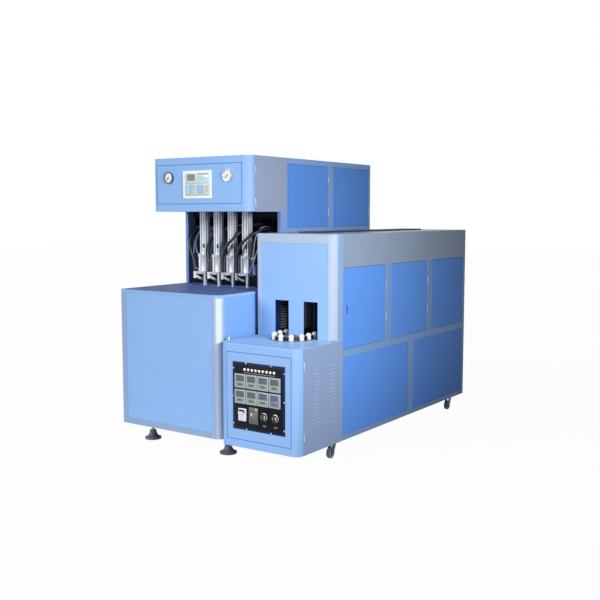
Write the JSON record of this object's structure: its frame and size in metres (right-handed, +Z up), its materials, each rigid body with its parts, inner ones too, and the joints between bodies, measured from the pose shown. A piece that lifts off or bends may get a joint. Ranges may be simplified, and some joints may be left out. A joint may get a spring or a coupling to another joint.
{
  "type": "blow moulding machine",
  "caption": "Semi-automatic stretch blow moulding machine with an infrared preform heater beside it; blue sheet cabinets, blow stations over a mould table, chain of preform holders.",
  "frame": {"origin": "middle of the footprint of both units, on the floor", "axes": "+X to the right seen from the operator's side, +Y towards the back, +Z up; the operator stands at -Y"},
  "size_m": [1.5142, 2.376, 1.95],
  "materials": {
    "blue_paint": "gloss",
    "light_paint": "gloss",
    "grey_paint": "satin",
    "table_steel": "gloss",
    "panel_plastic": "gloss",
    "black_panel": "satin",
    "knob_silver": "satin",
    "needle_red": "satin",
    "aluminium": "satin",
    "steel": "satin",
    "cast_grey": "satin",
    "zinc": "satin",
    "hose_rubber": "satin",
    "wheel_rubber": "matte",
    "filter_plastic": "gloss",
    "holder_white": "satin",
    "chain_black": "satin"
  },
  "bodies": {
    "machine": {"blow_frame": "light_paint", "tower_frame": "light_paint", "base_front_panel": "blue_paint", "blow_fixed_panels": "blue_paint", "base_table": "table_steel", "levelling_feet": "cast_grey", "head_shell": "grey_paint", "stretch_cylinders": "aluminium", "seal_cylinders": "aluminium", "filter_regulator": "filter_plastic", "valve_panel": "grey_paint", "mould_clamp": "steel", "heater_frame": "light_paint", "heater_front_panel": "blue_paint", "heater_top_cover": "grey_paint", "top_vents": "chain_black", "heater_fixed_panels": "blue_paint", "control_box": "blue_paint", "carrier_deck": "steel", "carrier_chain": "chain_black", "preform_holders": "holder_white", "drive_motor": "cast_grey", "lamp_racks": "steel", "air_hose_1": "hose_rubber", "air_hose_2": "hose_rubber", "air_hose_3": "hose_rubber", "air_hose_4": "hose_rubber", "caster_mounts": "zinc"},
    "head_door": {"head_door": "blue_paint", "head_instruments": "panel_plastic"},
    "gauge_needle_1": {"gauge_needle_1": "needle_red"},
    "gauge_needle_2": {"gauge_needle_2": "needle_red"},
    "tower_door_1": {"tower_door_1": "blue_paint"},
    "tower_door_2": {"tower_door_2": "blue_paint"},
    "mould_front": {"mould_front": "aluminium"},
    "mould_rear": {"mould_rear": "aluminium"},
    "control_door": {"control_door": "blue_paint", "instrument_panel": "black_panel"},
    "breaker_toggle": {"breaker_toggle": "black_panel"},
    "panel_knob_1": {"panel_knob_1": "knob_silver"},
    "panel_knob_2": {"panel_knob_2": "knob_silver"},
    "star_wheel_front": {"star_wheel_front": "steel"},
    "star_wheel_rear": {"star_wheel_rear": "steel"},
    "caster_fork_front_left": {"caster_fork_front_left": "zinc"},
    "caster_fork_front_right": {"caster_fork_front_right": "zinc"},
    "caster_wheel_front_left": {"caster_wheel_front_left": "wheel_rubber"},
    "caster_wheel_front_right": {"caster_wheel_front_right": "wheel_rubber"},
    "caster_wheel_rear_left": {"caster_wheel_rear_left": "wheel_rubber"},
    "caster_wheel_rear_right": {"caster_wheel_rear_right": "wheel_rubber"},
    "heater_door_1": {"heater_door_1": "blue_paint"},
    "heater_door_2": {"heater_door_2": "blue_paint"},
    "heater_door_3": {"heater_door_3": "blue_paint"},
    "blow_nozzle_1": {"blow_nozzle_1": "steel"},
    "stretch_rod_1": {"stretch_rod_1": "steel"},
    "blow_nozzle_2": {"blow_nozzle_2": "steel"},
    "stretch_rod_2": {"stretch_rod_2": "steel"},
    "blow_nozzle_3": {"blow_nozzle_3": "steel"},
    "stretch_rod_3": {"stretch_rod_3": "steel"},
    "blow_nozzle_4": {"blow_nozzle_4": "steel"},
    "stretch_rod_4": {"stretch_rod_4": "steel"}
  },
  "joints": [
    {"name": "head_door_hinge", "type": "hinge", "parent": "machine", "child": "head_door", "pos_m": [0.11815, -0.7397, 1.642], "axis": [0, 0, 1], "range_deg": [0, 100]},
    {"name": "gauge_needle_1_turn", "type": "hinge", "parent": "head_door", "child": "gauge_needle_1", "pos_m": [-0.59315, -0.806, 1.815], "axis": [0, 1, 0], "range_deg": [0, 270]},
    {"name": "tower_door_1_hinge", "type": "hinge", "parent": "machine", "child": "tower_door_1", "pos_m": [0.11815, 0.142, 1.5775], "axis": [0, 0, 1], "range_deg": [0, 110]},
    {"name": "gauge_needle_2_turn", "type": "hinge", "parent": "head_door", "child": "gauge_needle_2", "pos_m": [-0.06515, -0.806, 1.82], "axis": [0, 1, 0], "range_deg": [0, 270]},
    {"name": "tower_door_2_hinge", "type": "hinge", "parent": "machine", "child": "tower_door_2", "pos_m": [0.11815, 0.734, 1.5775], "axis": [0, 0, 1], "range_deg": [0, 110]},
    {"name": "nozzle_1_stroke", "type": "slide", "parent": "machine", "child": "blow_nozzle_1", "axis": [0, 0, -1], "range_m": [0, 0.035]},
    {"name": "stretch_1_stroke", "type": "slide", "parent": "machine", "child": "stretch_rod_1", "axis": [0, 0, -1], "range_m": [0, 0.27]},
    {"name": "nozzle_2_stroke", "type": "slide", "parent": "machine", "child": "blow_nozzle_2", "axis": [0, 0, -1], "range_m": [0, 0.035]},
    {"name": "stretch_2_stroke", "type": "slide", "parent": "machine", "child": "stretch_rod_2", "axis": [0, 0, -1], "range_m": [0, 0.27]},
    {"name": "nozzle_3_stroke", "type": "slide", "parent": "machine", "child": "blow_nozzle_3", "axis": [0, 0, -1], "range_m": [0, 0.035]},
    {"name": "stretch_3_stroke", "type": "slide", "parent": "machine", "child": "stretch_rod_3", "axis": [0, 0, -1], "range_m": [0, 0.27]},
    {"name": "nozzle_4_stroke", "type": "slide", "parent": "machine", "child": "blow_nozzle_4", "axis": [0, 0, -1], "range_m": [0, 0.035]},
    {"name": "stretch_4_stroke", "type": "slide", "parent": "machine", "child": "stretch_rod_4", "axis": [0, 0, -1], "range_m": [0, 0.27]},
    {"name": "mould_front_stroke", "type": "slide", "parent": "machine", "child": "mould_front", "axis": [0, -1, 0], "range_m": [0, 0.07]},
    {"name": "mould_rear_stroke", "type": "slide", "parent": "machine", "child": "mould_rear", "axis": [0, 1, 0], "range_m": [0, 0.07]},
    {"name": "heater_door_1_hinge", "type": "hinge", "parent": "machine", "child": "heater_door_1", "pos_m": [0.75315, -0.11433, 0.867], "axis": [0, 0, 1], "range_deg": [0, 110]},
    {"name": "heater_door_2_hinge", "type": "hinge", "parent": "machine", "child": "heater_door_2", "pos_m": [0.75315, 0.51533, 0.867], "axis": [0, 0, 1], "range_deg": [0, 110]},
    {"name": "heater_door_3_hinge", "type": "hinge", "parent": "machine", "child": "heater_door_3", "pos_m": [0.75315, 1.145, 0.867], "axis": [0, 0, 1], "range_deg": [0, 110]},
    {"name": "control_door_hinge", "type": "hinge", "parent": "machine", "child": "control_door", "pos_m": [0.75315, -1.0987, 0.23], "axis": [0, 0, 1], "range_deg": [0, 100]},
    {"name": "breaker_switching", "type": "hinge", "parent": "control_door", "child": "breaker_toggle", "pos_m": [0.33185, -1.172, 0.342], "axis": [1, 0, 0], "range_deg": [-25, 25]},
    {"name": "panel_knob_1_turn", "type": "hinge", "parent": "control_door", "child": "panel_knob_1", "pos_m": [0.49685, -1.158, 0.333], "axis": [0, 1, 0], "range_deg": [-135, 135]},
    {"name": "panel_knob_2_turn", "type": "hinge", "parent": "control_door", "child": "panel_knob_2", "pos_m": [0.58285, -1.158, 0.334], "axis": [0, 1, 0], "range_deg": [-135, 135]},
    {"name": "star_wheel_rear_turn", "type": "hinge", "parent": "machine", "child": "star_wheel_rear", "pos_m": [0.45385, 0.98872, 0.769], "axis": [0, 0, 1], "continuous": true},
    {"name": "star_wheel_front_turn", "type": "hinge", "parent": "machine", "child": "star_wheel_front", "pos_m": [0.45385, -0.811, 0.769], "axis": [0, 0, 1], "continuous": true},
    {"name": "swivel_front_right", "type": "hinge", "parent": "machine", "child": "caster_fork_front_right", "pos_m": [0.68285, -0.664, 0.115], "axis": [0, 0, 1], "continuous": true},
    {"name": "roll_front_right", "type": "hinge", "parent": "caster_fork_front_right", "child": "caster_wheel_front_right", "pos_m": [0.68285, -0.698, 0.036], "axis": [1, 0, 0], "continuous": true},
    {"name": "swivel_front_left", "type": "hinge", "parent": "machine", "child": "caster_fork_front_left", "pos_m": [0.21285, -0.664, 0.115], "axis": [0, 0, 1], "continuous": true},
    {"name": "roll_front_left", "type": "hinge", "parent": "caster_fork_front_left", "child": "caster_wheel_front_left", "pos_m": [0.21285, -0.698, 0.036], "axis": [1, 0, 0], "continuous": true},
    {"name": "roll_rear_right", "type": "hinge", "parent": "machine", "child": "caster_wheel_rear_right", "pos_m": [0.68285, 1.036, 0.036], "axis": [1, 0, 0], "continuous": true},
    {"name": "roll_rear_left", "type": "hinge", "parent": "machine", "child": "caster_wheel_rear_left", "pos_m": [0.21285, 1.036, 0.036], "axis": [1, 0, 0], "continuous": true}
  ],
  "couplings": [
    {"joint": "nozzle_2_stroke", "follows": "nozzle_1_stroke", "ratio": 1},
    {"joint": "stretch_2_stroke", "follows": "stretch_1_stroke", "ratio": 1},
    {"joint": "nozzle_3_stroke", "follows": "nozzle_1_stroke", "ratio": 1},
    {"joint": "stretch_3_stroke", "follows": "stretch_1_stroke", "ratio": 1},
    {"joint": "nozzle_4_stroke", "follows": "nozzle_1_stroke", "ratio": 1},
    {"joint": "stretch_4_stroke", "follows": "stretch_1_stroke", "ratio": 1},
    {"joint": "mould_rear_stroke", "follows": "mould_front_stroke", "ratio": 1},
    {"joint": "star_wheel_front_turn", "follows": "star_wheel_rear_turn", "ratio": 1}
  ]
}
